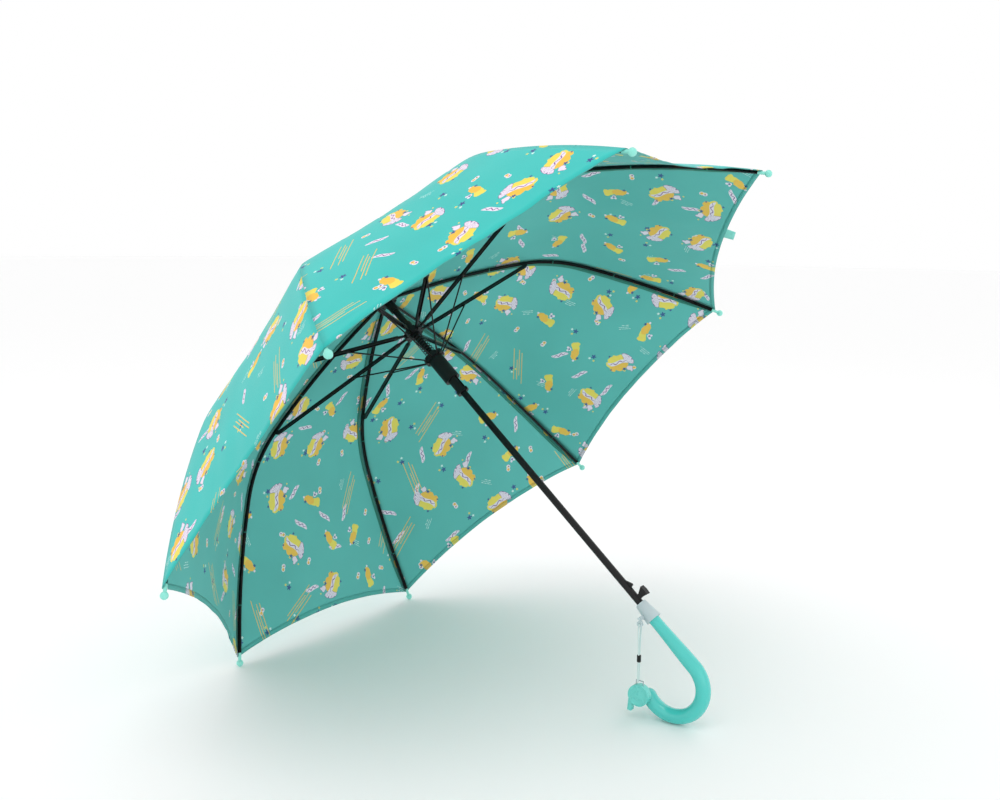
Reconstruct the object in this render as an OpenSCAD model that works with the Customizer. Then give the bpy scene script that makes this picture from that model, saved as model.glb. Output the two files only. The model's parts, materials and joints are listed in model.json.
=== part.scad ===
// A child's stick umbrella, open, with a hook handle, an opening spring and a whistle on a lanyard.
// Every piece is modelled about the shaft: Z runs up the shaft to the crown, the rim lies in the plane
// z = 0, and X points to the side the hook curls to. laid() then tips the umbrella over on to the floor,
// where it rests on two rib tips and the bend of its hook, with +Z up and the handle towards +X.

/* [Canopy] */
// Radius of the circle through the rib tips
rim_radius = 420; // [330:1:540]
// Height of the rib hinges above the rim
dome_rise = 214; // [170:1:260]
// Thickness of a canopy panel, seams and coating included
panel_thickness = 0.6; // [0.4:0.1:1.5]
// How far a hem bows in between two tips
hem_bow = 20; // [5:1:40]
// How far the middle of a panel's hem sags below the straight line between two ribs
panel_sag = 7; // [2:1:15]
// Length of the tie strap sewn to one panel
strap_length = 86; // [50:1:130]
// Width of the tie strap
strap_width = 18; // [10:1:30]

/* [Frame] */
// Outer diameter of the shaft
shaft_diameter = 8; // [7:0.5:10]
// Wall of the shaft tube
shaft_wall = 0.6; // [0.5:0.1:1]
// Width of a rib channel
rib_width = 3; // [2.6:0.1:4]
// Depth of a rib channel
rib_depth = 3; // [2.6:0.1:4]
// Width of a stretcher channel
stretcher_width = 4.6; // [4.2:0.1:6]
// Depth of a stretcher channel
stretcher_depth = 3.4; // [3:0.1:4.5]
// Distance from the shaft's axis to the rib, stretcher and strut pivots
pivot_radius = 11; // [10.5:0.5:14]
// Where a strut meets its stretcher, as a share of the stretcher's length from the hub
strut_share = 0.4; // [0.3:0.02:0.5]
// Distance between the stretcher pivots and the strut pivots along the shaft, with the umbrella open
runner_gap = 42; // [34:1:60]
// Diameter of a strut's wire
strut_wire = 1.8; // [1.4:0.1:2.2]
// Length of the runner's sleeve
sleeve_length = 34; // [24:1:60]

/* [Handle] */
// Distance from the rim plane down to the top of the collar
collar_drop = 260; // [225:1:300]
// Length of the collar
collar_length = 22; // [18:1:32]
// Length of the straight grip
grip_length = 64; // [50:1:100]
// Diameter of the grip where it enters the collar
grip_diameter = 12.6; // [11.5:0.2:18]
// Diameter of the tube that makes the hook
hook_diameter = 16.4; // [14:0.2:20]
// Radius of the hook's bend, to the middle of its tube
hook_radius = 34; // [28:1:50]
// Angle the hook turns through
hook_turn = 196; // [170:1:210]

/* [Tips and whistle] */
// Diameter of the ball on a rib tip
ball_diameter = 8.2; // [6:0.2:11]
// Length of a tip's stem, from the end of its rib to the middle of its ball
tip_length = 12; // [9:1:18]
// Length of the ferrule above the cap
ferrule_length = 46; // [25:1:80]
// Diameter of the round whistle
whistle_diameter = 24; // [20:1:28]
// Thickness of the whistle
whistle_thickness = 8.6; // [7:0.2:9]
// Length of the lanyard, from its eyelet to the wire of the whistle
lanyard_length = 63; // [56:1:66]

/* [Hidden] */
rib_names = [for (i = [1:8]) str("rib_", i)];
tip_names = [for (i = [1:8]) str("tip_", i)];
stretcher_names = [for (i = [1:8]) str("stretcher_", i)];
strut_names = [for (i = [1:8]) str("strut_", i)];
panel_names = [for (i = [1:8]) str("panel_", i)];

$fn = 48;
sector = 360 / 8;                      // angle from one rib to the next
eps = 0.01;                            // how far cuts run past a face
running = 0.08;                        // radial clearance of what slides or turns
side_play = 0.3;                       // clearance beside a blade in its fork or slot
sheet = 0.6;                           // thickness of the pressed steel channels
blade = 1.6;                           // thickness of the flat pivot blades
pin_radius = 0.9;                      // rivets through the ribs and stretchers
shaft_r = shaft_diameter / 2;
bore_r = shaft_r + running;

// ---- The rib line: three arcs, each tangent to the one before it, as [distance from the axis, height].
start_slope = 1;                       // degrees below level at the crown
knots = [[pivot_radius, dome_rise],
         [0.503 * rim_radius, 0.888 * dome_rise],
         [0.693 * rim_radius, 0.69 * dome_rise],
         [rim_radius, 0]];
function chord_slope(p, q) = atan2(p[1] - q[1], q[0] - p[0]);
function slope_at_knot(k) =
    k == 0 ? start_slope : 2 * chord_slope(knots[k - 1], knots[k]) - slope_at_knot(k - 1);
function turn_of(k) = slope_at_knot(k + 1) - slope_at_knot(k);
function radius_of(k) = norm(knots[k + 1] - knots[k]) / (2 * sin(turn_of(k) / 2));
function normal(slope) = [sin(slope), cos(slope)];
function along(slope) = [cos(slope), -sin(slope)];
function centre_of(k) = knots[k] - radius_of(k) * normal(slope_at_knot(k));
function length_of(k) = radius_of(k) * turn_of(k) * PI / 180;
line_starts = [0, length_of(0), length_of(0) + length_of(1)];
line_length = line_starts[2] + length_of(2);
function arc_at(s) = s < line_starts[1] ? 0 : s < line_starts[2] ? 1 : 2;
function slope_on(k, s) = slope_at_knot(k) + (s - line_starts[k]) / radius_of(k) * 180 / PI;
function slope_at(s) = slope_on(arc_at(s), s);
function point_at(s) = let (k = arc_at(s)) centre_of(k) + radius_of(k) * normal(slope_at(s));

// ---- The linkage. Stretcher and inner rib are equally long, so both turn through the same angle.
lug_drop = rib_depth / 2 + 2.7;        // from the rib line to the stretcher's pivot
stretcher_joint = knots[1] - lug_drop * normal(slope_at_knot(1));
hub_height = 2 * stretcher_joint[1] - dome_rise;
stretcher_rise = atan2(stretcher_joint[1] - hub_height, stretcher_joint[0] - pivot_radius);
stretcher_length = norm(stretcher_joint - [pivot_radius, hub_height]);
strut_pin_drop = 0.8;                  // the strut's pin sits low in the stretcher's channel
strut_top = [pivot_radius, hub_height] + strut_share * stretcher_length * along(-stretcher_rise)
    - strut_pin_drop * normal(-stretcher_rise);
runner_height = hub_height - runner_gap;
strut_length = norm(strut_top - [pivot_radius, runner_height]);
strut_slope = atan2(strut_top[1] - runner_height, strut_top[0] - pivot_radius);

rib_end = line_length - tip_length;
rib_end_slope = slope_at(rib_end);
ball_at = point_at(rib_end) + tip_length * along(rib_end_slope);
ball_r = ball_diameter / 2;
stem_r = 1.9;
eye_r = 1.8;                           // round end of a rib's pivot blade
fork_r = 2;                            // round end of a stretcher's fork
toe_r = 1.2;                           // round inner end of a stretcher or strut
flange_r = pivot_radius + toe_r + 0.6; // outside of the crown, hub and runner discs
slot_floor = pivot_radius - eye_r - 0.6;
toe_floor = pivot_radius - toe_r - 0.4;
slot_width = blade + 2 * side_play + 0.1;

// ---- The canopy lies just clear of the ribs' outer faces.
panel_gap = 1;                         // from a rib's outer face to the canopy at the seam
seam_gap = 0.3;                        // from a seam to the plane of its rib
panel_inside = rib_depth / 2 + panel_gap;
panel_outside = panel_inside + panel_thickness;
panel_start = 3.2;                     // along the rib line, under the cap
panel_end = line_length - 7;           // at a corner of the panel, on the tip's stem
panel_rows = 18;
panel_columns = 10;

// ---- Crown, cap and shaft
crown_top = dome_rise + rib_depth / 2 + 0.1;
crown_height = 6;
boss_r = 5.5;
cap_bottom = dome_rise + panel_outside + 0.3;
cap_height = 5;
cap_r = flange_r + 4;
cap_top = cap_bottom + cap_height;
shaft_top = cap_bottom + 2;
wire_r = 0.5;
tube_in_handle = 20;

// ---- Collar, grip and hook
collar_top = -collar_drop;
collar_bottom = collar_top - collar_length;
collar_r = grip_diameter / 2 + 2.9;
hook_height = collar_bottom - grip_length;
hook_r = hook_diameter / 2;

// ---- Latch: a wedge and a button on the side away from the hook
catch_top = collar_top + 29;
catch_length = 11;
catch_height = 8;
latch_thickness = 2.4;
button_height = collar_top + 6;
button_stem = 5.4;
button_flare = 11;
button_depth = 4;
button_base = 8;
button_face = 15.4;

// ---- Leaning: the floor touches two tip balls and the outside of the hook's bend.
tip_x = ball_at[0] * cos(sector / 2);
hook_reach = hook_radius + hook_r;
reach = norm([tip_x - hook_radius, ball_at[1] - hook_height]);
lean = atan2(tip_x - hook_radius, ball_at[1] - hook_height) - asin((hook_reach - ball_r) / reach);
lift = ball_r + tip_x * cos(lean) - ball_at[1] * sin(lean);
function dome_reach(s) =
    let (p = point_at(s) + panel_outside * normal(slope_at(s)))
    p[0] * cos(sector / 2) * sin(lean) + p[1] * cos(lean);
dome_front = max([for (i = [0:40]) dome_reach(panel_end * i / 40)]);
hook_front = -hook_radius * sin(lean) - hook_height * cos(lean) + hook_reach;
shift = (dome_front - hook_front) / 2;
function laid_point(p) = [shift - p[0] * sin(lean) - p[2] * cos(lean), -p[1],
                          lift - p[0] * cos(lean) + p[2] * sin(lean)];

// ---- Lanyard: its cord hangs straight down from an eyelet on the collar, beside the hook.
cord_r = 0.9;
eyelet_pin = 1.2;
eyelet_r = 3.4;
eyelet_thickness = 2.4;
strand_spread = eyelet_thickness / 2 + 0.4 + eyelet_pin;
eyelet_at = [9, hook_r + whistle_thickness / 2 + 0.8, collar_bottom + 5];
bead_length = 8;
bead_r = 2;
bead_drop = 34.5;
bail_r = 0.5;
bail_side = [-2.4, 6];
bail_height = 4.2;
whistle_r = whistle_diameter / 2;
whistle_x = 1.8;
whistle_drop = bail_height + whistle_r - 0.4;

module laid() {
    translate([shift, 0, lift])
        rotate([0, 0, 180])
            rotate([0, 90 - lean, 0])
                children();
}

module hung() {
    translate(laid_point(eyelet_at))
        children();
}

// Places a piece drawn in the [distance, height] plane at rib i. The first rib leans half a sector off X.
module at_rib(i) {
    rotate([0, 0, sector * (i - 0.5)])
        children();
}

// A flat plate of the given thickness, standing in the plane of a rib
module plate(points, thickness) {
    rotate([90, 0, 0])
        linear_extrude(thickness, center = true)
            polygon(points);
}

// A round boss or hole across the plane of a rib
module across(p, r, length) {
    translate([p[0], 0, p[1]])
        rotate([90, 0, 0])
            cylinder(h = length, r = r, center = true);
}

// Section of a pressed channel, its web outwards, about the origin
module channel_section(depth, width) {
    difference() {
        square([depth, width], center = true);
        translate([-sheet, 0])
            square([depth + eps, width - 2 * sheet], center = true);
    }
}

// The stretch of rib channel on arc k, from one place along the rib line to another
module rib_arc(k, from, to) {
    translate([centre_of(k)[0], 0, centre_of(k)[1]])
        rotate([90, 0, 0])
            rotate([0, 0, 90 - slope_on(k, to)])
                rotate_extrude(angle = slope_on(k, to) - slope_on(k, from), $fn = 180)
                    translate([radius_of(k), 0])
                        channel_section(rib_depth, rib_width);
}

// A straight bar between two points of a rib's plane, drawn from [0, 0] along +X
module along_line(p, rise) {
    translate([p[0], 0, p[1]])
        rotate([0, -rise, 0])
            children();
}

module rib(i) {
    blade_end = 18;
    start = 13;
    half = rib_depth / 2;
    lug_half = 5;
    splice_half = 6;
    joint_slope = slope_at_knot(1);
    color("#1b1b1d") at_rib(i) {
        difference() {
            union() {
                across(knots[0], eye_r, blade);
                along_line(knots[0], -slope_at(blade_end / 2))
                    plate([[0, eye_r - 0.3], [start, half], [blade_end, half],
                           [blade_end, -half], [start, -half], [0, 0.3 - eye_r]], blade);
            }
            across(knots[0], wire_r + running, 3 * blade);
        }
        rib_arc(0, start, line_starts[1] - eps);
        rib_arc(1, line_starts[1], line_starts[2] - eps);
        rib_arc(2, line_starts[2], rib_end);
        along_line(knots[2], -slope_at_knot(2))
            plate([[-splice_half, half - sheet / 2], [splice_half, half - sheet / 2],
                   [splice_half - 1, -half / 2], [1 - splice_half, -half / 2]], blade);
        difference() {
            union() {
                along_line(knots[1], -joint_slope)
                    plate([[-lug_half, half - sheet / 2], [lug_half, half - sheet / 2],
                           [fork_r, -lug_drop], [-fork_r, -lug_drop]], blade);
                across(stretcher_joint, fork_r, blade);
            }
            across(stretcher_joint, pin_radius + running, 3 * blade);
        }
    }
}

module tip(i) {
    color("#8ce1d2") at_rib(i) {
        translate([point_at(rib_end)[0], 0, point_at(rib_end)[1]])
            rotate([0, 90 + rib_end_slope, 0]) {
                cylinder(h = tip_length, r = stem_r);
                translate([0, 0, tip_length])
                    sphere(r = ball_r);
            }
    }
}

module stretcher(i) {
    blade_end = 18;
    start = 12;
    half = stretcher_depth / 2;
    fork_start = stretcher_length - 16;
    channel_end = stretcher_length - 6;
    cheek = 0.9;
    cheek_middle = blade / 2 + side_play + cheek / 2;
    pin_at = strut_share * stretcher_length;
    color("#232326") at_rib(i) along_line([pivot_radius, hub_height], stretcher_rise) {
        across([0, 0], toe_r, blade);
        plate([[0, toe_r], [start, half], [blade_end, half], [blade_end, -half], [start, -half],
               [0, -toe_r]], blade);
        translate([start, 0, 0])
            rotate([90, 0, 90])
                linear_extrude(channel_end - start)
                    rotate([0, 0, 90])
                        channel_section(stretcher_depth, stretcher_width);
        for (side = [-1, 1])
            translate([0, side * cheek_middle, 0]) {
                across([stretcher_length, 0], fork_r, cheek);
                plate([[fork_start, half], [stretcher_length, fork_r], [stretcher_length, -fork_r],
                       [fork_start, -half]], cheek);
            }
        across([stretcher_length, 0], pin_radius, 2 * cheek_middle + cheek);
        across([pin_at, -strut_pin_drop], pin_radius - 0.2, stretcher_width - sheet);
    }
}

module strut(i) {
    strut_eye = 1.4;
    color("#2b2b2f") at_rib(i) along_line([pivot_radius, runner_height], strut_slope) {
        difference() {
            union() {
                across([strut_length, 0], strut_eye, blade);
                rotate([0, 90, 0])
                    cylinder(h = strut_length - strut_eye / 2, d = strut_wire);
                across([0, 0], toe_r, blade);
            }
            across([strut_length, 0], pin_radius - 0.2 + running, 3 * blade);
        }
    }
}

// Radial slots for the blades, cut into a disc
module slots(floor_r, height) {
    for (i = [1:8])
        at_rib(i)
            translate([floor_r, -slot_width / 2, -height])
                cube([flange_r, slot_width, 2 * height]);
}

module crown() {
    color("#1f1f22") difference() {
        union() {
            translate([0, 0, crown_top - crown_height])
                cylinder(h = crown_height, r = flange_r);
            translate([0, 0, crown_top - crown_height - 14])
                cylinder(h = 14 + eps, r = boss_r);
        }
        translate([0, 0, crown_top - crown_height - 15])
            cylinder(h = 40, r = shaft_r);
        translate([0, 0, dome_rise])
            slots(slot_floor, 2 * crown_height);
        translate([0, 0, dome_rise - wire_r])
            rotate_extrude()
                translate([pivot_radius - wire_r, 0])
                    square([2 * wire_r, crown_height]);
    }
}

module crown_wire() {
    color("#b9bcc0")
        translate([0, 0, dome_rise])
            rotate_extrude()
                translate([pivot_radius, 0])
                    circle(r = wire_r);
}

module top_cap() {
    color("#8ce1d2") difference() {
        union() {
            translate([0, 0, cap_bottom])
                cylinder(h = 2, r = cap_r);
            translate([0, 0, cap_bottom + 2])
                cylinder(h = cap_height - 2, r1 = cap_r - 1, r2 = 7);
            translate([0, 0, crown_top])
                cylinder(h = cap_bottom - crown_top + eps, r = 8);
        }
        translate([0, 0, crown_top - 1])
            cylinder(h = shaft_top - crown_top + 1, r = shaft_r);
    }
}

module ferrule() {
    base_r = 5.2;
    end_r = 3.8;
    color("#8ce1d2") translate([0, 0, cap_top]) {
        cylinder(h = 6, r = base_r);
        translate([0, 0, 6])
            cylinder(h = ferrule_length - 6 - end_r, r1 = base_r - 0.6, r2 = end_r);
        translate([0, 0, ferrule_length - end_r])
            sphere(r = end_r);
    }
}

module shaft_tube() {
    bottom = collar_bottom - tube_in_handle;
    color("#18181a") difference() {
        translate([0, 0, bottom])
            cylinder(h = shaft_top - bottom, r = shaft_r);
        translate([0, 0, bottom - 1])
            cylinder(h = shaft_top - bottom + 2, r = shaft_r - shaft_wall);
        translate([-shaft_r - 1, -latch_thickness / 2 - side_play, catch_top - catch_length - 1])
            cube([shaft_r + 1, latch_thickness + 2 * side_play, catch_length + 2]);
        translate([-shaft_r - 1, -button_depth / 2 - side_play, button_height - button_stem / 2 - side_play])
            cube([shaft_r + 1, button_depth + 2 * side_play, button_stem + 2 * side_play]);
    }
}

// A wedge that rises towards the handle and ends in a barb
module latch_catch() {
    inner = 2.8;
    color("#1c1c1e") plate([[-inner, catch_top], [-shaft_r, catch_top - 0.5],
                            [-catch_height, catch_top - catch_length + 3],
                            [-catch_height + 0.6, catch_top - catch_length + 1.6],
                            [-shaft_r - 0.4, catch_top - catch_length + 1],
                            [-inner, catch_top - catch_length]], latch_thickness);
}

module release_button() {
    inner = 2.8;
    half = button_stem / 2;
    color("#141416") {
        translate([0, 0, button_height])
            plate([[-inner, half], [-button_base, half], [-button_base, -half], [-inner, -half]],
                  button_depth);
        translate([0, 0, button_height])
            plate([[-button_base, half], [-button_face, button_flare / 2 + 0.8],
                   [-button_face - 0.6, 0.8], [-button_face, 0.8 - button_flare / 2],
                   [-button_base, -half]], button_depth + 3);
    }
}

module hub() {
    half = 3.2;
    color("#1f1f22") difference() {
        translate([0, 0, hub_height]) {
            translate([0, 0, -half])
                cylinder(h = 2 * half, r = flange_r);
            translate([0, 0, half - eps])
                cylinder(h = 12, r = boss_r);
            translate([0, 0, -half - 3])
                cylinder(h = 3 + eps, r = boss_r + 0.9);
        }
        translate([0, 0, hub_height - 10])
            cylinder(h = 40, r = bore_r);
        translate([0, 0, hub_height])
            slots(toe_floor, 2 * half);
    }
}

// The runner's flange takes the struts. Its sleeve has a seat for the spring and ends in a neck and a bead.
flange_half = 3;
neck_length = 17;
bead_width = 4;
spring_seat = runner_height - 16;
spring_room = 7.4;
runner_sleeve_r = pivot_radius - toe_r - 0.3;
keyway = latch_thickness + 2 * side_play;

module lower_runner() {
    sleeve_end = runner_height - flange_half - sleeve_length;
    neck_end = sleeve_end - neck_length;
    bead_end = neck_end - bead_width;
    color("#161618") difference() {
        union() {
            translate([0, 0, runner_height - flange_half])
                cylinder(h = 2 * flange_half, r = flange_r);
            translate([0, 0, sleeve_end])
                cylinder(h = sleeve_length + eps, r = runner_sleeve_r);
            translate([0, 0, neck_end])
                cylinder(h = neck_length + eps, r = 6.2);
            translate([0, 0, bead_end])
                cylinder(h = bead_width + eps, r = 7.4);
        }
        translate([0, 0, bead_end - 1])
            cylinder(h = 200, r = bore_r);
        translate([0, 0, spring_seat])
            cylinder(h = 100, r = spring_room);
        translate([0, 0, runner_height])
            slots(toe_floor, flange_half + eps);
        translate([-catch_height - 0.6, -keyway / 2, bead_end - 1])
            cube([catch_height, keyway, spring_seat - bead_end + 1]);
    }
}

module opening_spring() {
    coil_r = 6.3;
    coil_wire = 0.6;
    bottom = spring_seat + coil_wire + 0.1;
    top = hub_height - 3.2 - 3 - coil_wire - 0.1;
    turns = 13;
    steps = turns * 16;
    sides = 6;
    points = [for (i = [0:steps], k = [0:sides - 1])
        let (a = 360 * turns * i / steps,
             b = 360 * k / sides,
             r = coil_r + coil_wire * cos(b))
        [r * cos(a), r * sin(a), bottom + (top - bottom) * i / steps + coil_wire * sin(b)]];
    walls = [for (i = [0:steps - 1], k = [0:sides - 1])
        [i * sides + k, i * sides + (k + 1) % sides,
         (i + 1) * sides + (k + 1) % sides, (i + 1) * sides + k]];
    ends = [[for (k = [0:sides - 1]) sides - 1 - k], [for (k = [0:sides - 1]) steps * sides + k]];
    color("#9da1a6")
        polyhedron(points, concat(walls, ends));
}

module collar() {
    neck = [eyelet_at[0] - 6.2, 5, eyelet_at[2] + 1.7];
    color("#c3d2d7") difference() {
        union() {
            translate([0, 0, collar_bottom])
                cylinder(h = collar_length, r1 = collar_r, r2 = grip_diameter / 2);
            translate(neck)
                cube([4, eyelet_at[1] + eyelet_thickness / 2 - neck[1], 4]);
            translate(eyelet_at)
                rotate([90, 0, 0])
                    cylinder(h = eyelet_thickness, r = eyelet_r, center = true);
        }
        translate(eyelet_at)
            rotate([90, 0, 0])
                cylinder(h = 3 * eyelet_thickness, r = eyelet_pin + running, center = true);
        translate([0, 0, collar_bottom - 1])
            cylinder(h = collar_length + 2, r = shaft_r);
        translate([0, 0, collar_bottom - 1])
            cylinder(h = collar_length - 4, r = grip_diameter / 2);
    }
}

module handle() {
    in_collar = collar_length - 5;
    end_step = 0.1;                    // the rounded end is a hair smaller than the tube
    color("#4bc8be") difference() {
        union() {
            translate([0, 0, collar_bottom])
                cylinder(h = in_collar, r = grip_diameter / 2);
            translate([0, 0, hook_height])
                cylinder(h = grip_length + eps, r1 = hook_r, r2 = grip_diameter / 2);
            translate([hook_radius, 0, hook_height])
                rotate([90, 0, 0])
                    rotate([0, 0, 180])
                        rotate_extrude(angle = hook_turn)
                            translate([hook_radius, 0])
                                circle(r = hook_r);
            translate([hook_radius - hook_radius * cos(hook_turn), 0,
                       hook_height - hook_radius * sin(hook_turn)])
                sphere(r = hook_r - end_step);
        }
        translate([0, 0, collar_bottom - tube_in_handle])
            cylinder(h = tube_in_handle + collar_length, r = shaft_r);
    }
}

// ---- Canopy panels, in the plane midway between two ribs
// How deep the panel hangs below the straight line between its ribs
function hang(s, v) = panel_sag * pow(s / line_length, 1.5) * pow(1 - v * v, 2);
// A point of the panel: s along the rib line, v from -1 at one rib to 1 at the next
function panel_point(s, v, out) =
    let (p = point_at(s) + out * normal(slope_at(s)),
         q = hang(s, v) * normal(slope_at(s)))
    [p[0] * cos(sector / 2) - q[0], v * (p[0] * sin(sector / 2) - seam_gap), p[1] - q[1]];
function hem_at(v) = panel_end - hem_bow * (1 - v * v);

// A closed sheet between two surfaces given as rows of points
module slab(lower, upper, rows, columns) {
    n = columns + 1;
    total = (rows + 1) * n;
    function at(r, c) = r * n + c;
    tops = [for (r = [0:rows - 1], c = [0:columns - 1])
        each [[at(r, c), at(r, c + 1), at(r + 1, c + 1)], [at(r, c), at(r + 1, c + 1), at(r + 1, c)]]];
    border = concat([for (c = [0:columns - 1]) at(0, c)],
                    [for (r = [0:rows - 1]) at(r, columns)],
                    [for (c = [0:columns - 1]) at(rows, columns - c)],
                    [for (r = [0:rows - 1]) at(rows - r, 0)]);
    edges = len(border);
    sides = [for (k = [0:edges - 1])
        let (a = border[k], b = border[(k + 1) % edges])
        each [[a, total + b, b], [a, total + a, total + b]]];
    bottoms = [for (t = tops) [t[2] + total, t[1] + total, t[0] + total]];
    polyhedron(concat(upper, lower), concat(tops, bottoms, sides));
}

module panel(i) {
    function sheet_points(out) = [for (r = [0:panel_rows], c = [0:panel_columns])
        let (v = 2 * c / panel_columns - 1,
             s = panel_start + (hem_at(v) - panel_start) * r / panel_rows)
        panel_point(s, v, out)];
    color("#4bd7cd")
        rotate([0, 0, sector * i])
            slab(sheet_points(panel_inside), sheet_points(panel_outside), panel_rows, panel_columns);
}

// The strap is sewn outside the fifth panel and reaches past its hem.
strap_panel = 5;
strap_at = -0.2;
strap_rows = 8;
strap_past_hem = 12;

module tie_strap() {
    strap_end = hem_at(strap_at) + strap_past_hem;
    half = strap_width / 2;
    function strap_points(out) = [for (r = [0:strap_rows], side = [-1, 0, 1])
        let (s = strap_end - strap_length * (1 - r / strap_rows),
             wide = point_at(s)[0] * sin(sector / 2),
             middle = strap_at * hem_at(strap_at) / s)
        panel_point(s, middle + side * half / wide, out)];
    color("#3fc4ba")
        rotate([0, 0, sector * strap_panel])
            slab(strap_points(panel_outside + 0.35), strap_points(panel_outside + 1.15), strap_rows, 2);
}

// ---- Lanyard and whistle, hanging along -Z from the eyelet
module lanyard_cord() {
    bead_top = -bead_drop + 0.2;
    pinch = 1;
    spread = strand_spread - pinch;
    loop_r = bail_r + 0.75;
    loop_cord = 0.65;
    color("#cfe6e6") {
        rotate([90, 0, 0])
            cylinder(h = 2 * strand_spread, r = eyelet_pin, center = true);
        for (side = [-1, 1])
            translate([0, side * strand_spread, 0]) {
                sphere(r = eyelet_pin + 0.15);
                rotate([180 - side * atan(spread / -bead_top), 0, 0])
                    cylinder(h = norm([spread, bead_top]), r = cord_r);
            }
        translate([0, 0, loop_r - lanyard_length])
            cylinder(h = lanyard_length - bead_drop - bead_length - loop_r, r = cord_r);
        translate([0, 0, -lanyard_length])
            rotate([0, 90, 0])
                rotate_extrude()
                    translate([loop_r, 0])
                        circle(r = loop_cord);
    }
}

module lanyard_bead() {
    color("#1a1a1c")
        translate([0, 0, -bead_drop - bead_length])
            cylinder(h = bead_length, r = bead_r);
}

module whistle_ring() {
    color("#c4c8cc")
        translate([0, 0, -lanyard_length]) {
            translate([bail_side[0], 0, 0])
                rotate([0, 90, 0])
                    cylinder(h = bail_side[1] - bail_side[0], r = bail_r);
            for (x = bail_side) {
                translate([x, 0, 0])
                    sphere(r = bail_r);
                translate([x, 0, -bail_height - 2])
                    cylinder(h = bail_height + 2, r = bail_r);
            }
        }
}

module whistle_body() {
    mouth_width = 5;
    mouth_length = 22;
    mouth_depth = whistle_thickness - 1.6;
    color("#5fcfc6")
        translate([0, 0, -lanyard_length])
            difference() {
                translate([whistle_x, 0, -whistle_drop])
                    union() {
                        rotate([90, 0, 0])
                            cylinder(h = whistle_thickness, r = whistle_r, center = true);
                        translate([-whistle_r, -mouth_depth / 2, -mouth_length + 3])
                            rotate([0, 5, 0])
                                cube([mouth_width, mouth_depth, mouth_length]);
                    }
                for (x = bail_side)
                    translate([x, 0, -bail_height - 2])
                        cylinder(h = bail_height + 2, r = bail_r);
            }
}

laid() shaft_tube();
laid() ferrule();
laid() top_cap();
laid() crown();
laid() crown_wire();
laid() hub();
laid() opening_spring();
laid() lower_runner();
laid() collar();
laid() handle();
laid() latch_catch();
laid() release_button();
laid() tie_strap();
hung() lanyard_cord();
hung() lanyard_bead();
hung() whistle_ring();
hung() whistle_body();
for (i = [1:8]) {
    laid() rib(i);
    laid() tip(i);
    laid() stretcher(i);
    laid() strut(i);
    laid() panel(i);
}
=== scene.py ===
"""A child's stick umbrella with a printed canopy, a hook handle and a whistle, built around its CAD frame."""
import json
import math

import bmesh
import bpy
from bpy.props import FloatProperty, FloatVectorProperty, IntProperty, PointerProperty
from mathutils import Matrix, Vector, noise


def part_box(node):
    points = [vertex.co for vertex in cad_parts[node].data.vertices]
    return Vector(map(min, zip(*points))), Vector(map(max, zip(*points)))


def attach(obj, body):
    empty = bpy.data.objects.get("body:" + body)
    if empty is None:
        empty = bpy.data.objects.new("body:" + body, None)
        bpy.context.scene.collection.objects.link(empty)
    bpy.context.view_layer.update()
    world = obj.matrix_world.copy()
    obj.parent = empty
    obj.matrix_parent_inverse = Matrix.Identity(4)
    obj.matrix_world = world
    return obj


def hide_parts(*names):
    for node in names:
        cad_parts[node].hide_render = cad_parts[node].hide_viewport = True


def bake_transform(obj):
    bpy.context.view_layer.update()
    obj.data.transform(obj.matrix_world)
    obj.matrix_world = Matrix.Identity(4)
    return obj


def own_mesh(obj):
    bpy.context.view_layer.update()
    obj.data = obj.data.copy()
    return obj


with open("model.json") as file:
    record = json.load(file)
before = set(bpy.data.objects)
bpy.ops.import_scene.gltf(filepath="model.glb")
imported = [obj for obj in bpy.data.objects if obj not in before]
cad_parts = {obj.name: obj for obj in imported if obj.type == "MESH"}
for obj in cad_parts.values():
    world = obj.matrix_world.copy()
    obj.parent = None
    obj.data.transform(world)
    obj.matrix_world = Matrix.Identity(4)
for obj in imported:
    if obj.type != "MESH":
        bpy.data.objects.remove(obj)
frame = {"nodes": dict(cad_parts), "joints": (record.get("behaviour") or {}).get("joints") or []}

bl_info = {
    "name": "Child's stick umbrella",
    "version": (1, 0, 0),
    "blender": (4, 5, 0),
    "location": "View3D > Sidebar > Umbrella",
    "description": "Cloth, handle, whistle and finishes around the umbrella's CAD frame",
    "category": "Object",
}

MM = 0.001
RIBS = 8
HALF_SECTOR = math.pi / RIBS

# Where the three arcs of a rib meet, as shares of the rim's radius and of the rise
ARC_MEETINGS = ((0.503, 0.888), (0.693, 0.69))
# The cloth between two ribs: loose flutes at the hem, soft creases, and puckers 13 mm apart at the seams
FLUTE = 0.9 * MM
CREASE = 1.5 * MM
PUCKER = 0.3 * MM
PUCKER_SPACING = 13 * MM
# The threads that tie the cloth to a rib: their places along it, and the size of their rings
TIE_PLACES = (0.3, 0.5, 0.68, 0.86)
TIE_RADIUS = 2.3 * MM
THREAD_RADIUS = 0.28 * MM
# The strap's panel, and where it is sewn to it, from -1 to 1 across the panel
STRAP_PANEL = 5
STRAP_PLACE = -0.2
# The print and the cloth, in millimetres: the loosened grids that the small and the big motifs lie on, the
# spacing that the threads are drawn with, and the length of a stitch
SMALL_MOTIFS = 44
BIG_MOTIFS = 66
THREADS_DRAWN = 0.9
STITCH = 3
# The lights, each with its name, place, power and size, and the camera
LIGHTS = (("key", (0.5, -0.9, 3.0), 9, 1.4), ("fill", (2.4, -1.4, 0.8), 5, 2.0),
          ("rim", (0.9, 1.9, 2.0), 3, 1.6))
CAMERA_AT = (0.7349, -1.0517, 0.5056)
CAMERA_TURN = (82.134, -0.685, 34.513)
SENSOR, LENS = 36, 40.365

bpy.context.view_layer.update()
NODES = frame["nodes"]
JOINTS = {joint["name"]: joint for joint in frame["joints"]}

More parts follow.
